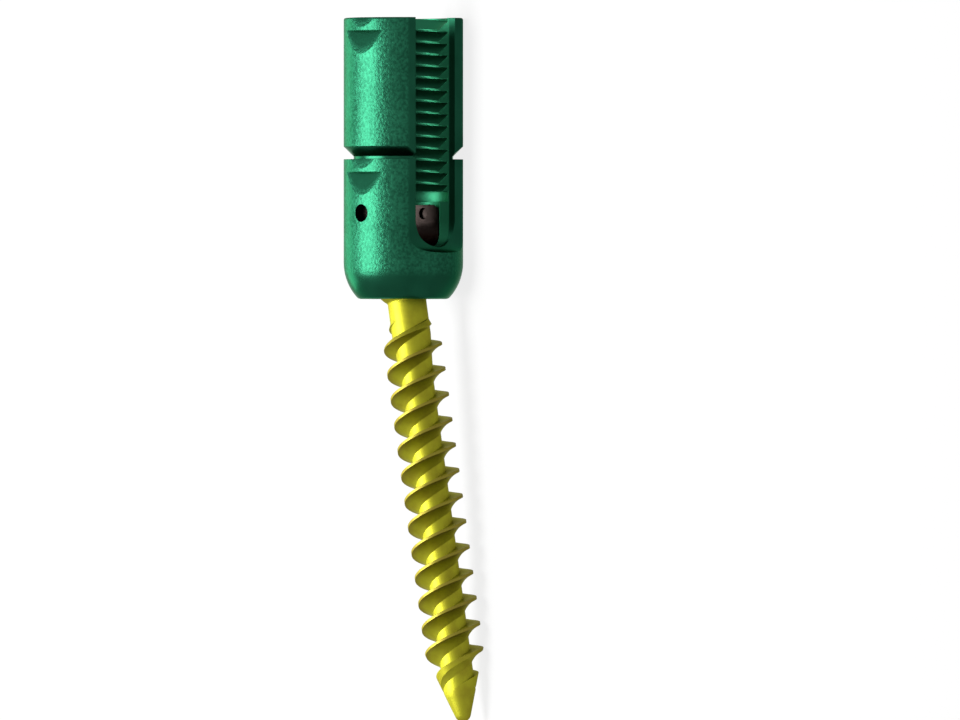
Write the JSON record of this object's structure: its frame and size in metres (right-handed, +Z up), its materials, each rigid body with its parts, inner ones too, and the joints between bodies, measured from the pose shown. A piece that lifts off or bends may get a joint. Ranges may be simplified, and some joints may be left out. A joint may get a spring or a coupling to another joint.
{
  "type": "pedicle screw",
  "caption": "Polyaxial bone screw: a slotted tulip with an inner thread and long break-off tabs holds the ball head of a coarse-threaded shank.",
  "frame": {"origin": "where the axis of the rod, in its channel, crosses the axis of the tulip", "axes": "+X along the tulip, out of its mouth; +Z up; +Y level and across the tulip. The tulip lies on the round of one arm, so the rod's axis is turned by 28.2 degrees from +Y towards +Z"},
  "size_m": [0.0776, 0.018, 0.0132],
  "materials": {
    "green_anodised": "satin",
    "yellow_anodised": "satin",
    "dark_anodised": "satin",
    "plain_titanium": "satin"
  },
  "bodies": {
    "tulip": {"tulip": "green_anodised", "pressure_saddle": "dark_anodised", "saddle_pins": "dark_anodised"},
    "seat_ring": {"seat_ring": "plain_titanium"},
    "bone_screw": {"bone_screw": "yellow_anodised"}
  },
  "joints": [
    {"name": "swivel", "type": "hinge", "parent": "tulip", "child": "seat_ring", "pos_m": [-0.00626, 0, 0], "axis": [1, 0, 0], "continuous": true},
    {"name": "tilt", "type": "hinge", "parent": "seat_ring", "child": "bone_screw", "pos_m": [-0.00626, 0, 0], "axis": [0, -0.371, 0.9286], "range_deg": [-37.3, 12.6]}
  ]
}
